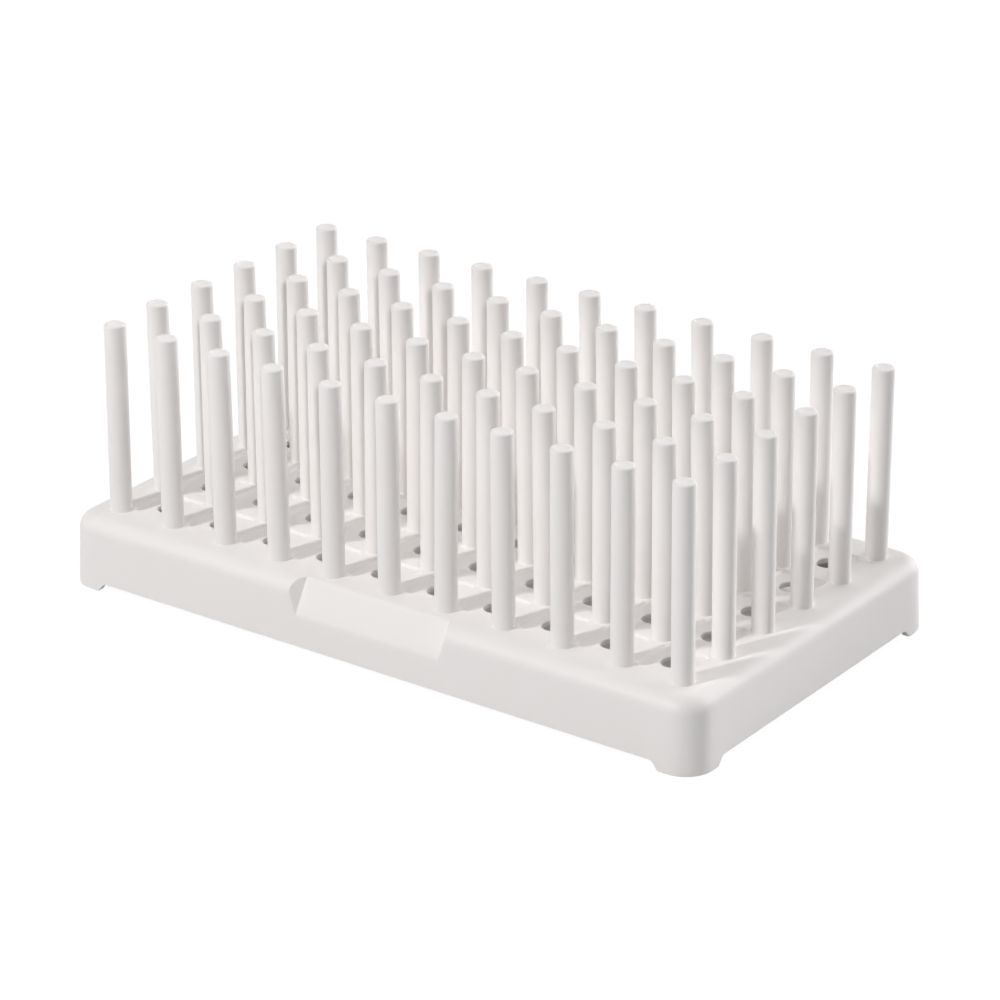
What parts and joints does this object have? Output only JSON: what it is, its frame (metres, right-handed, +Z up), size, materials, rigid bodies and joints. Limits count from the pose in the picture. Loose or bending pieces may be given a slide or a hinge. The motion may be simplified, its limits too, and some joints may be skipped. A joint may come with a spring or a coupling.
{
  "type": "drying pegboard rack",
  "caption": "Low white tray base carrying a regular grid of upright round pegs, with drain holes between them, for drying test tubes and small glassware.",
  "frame": {"origin": "centre of the base's outline on the surface it stands on", "axes": "+X along the length of the base, -Y the long side with the finger rest, +Z up along the pegs"},
  "size_m": [0.252, 0.1396, 0.0915],
  "materials": {
    "rack_plastic": "satin"
  },
  "bodies": {
    "root": {"peg_rack": "rack_plastic"}
  },
  "joints": []
}
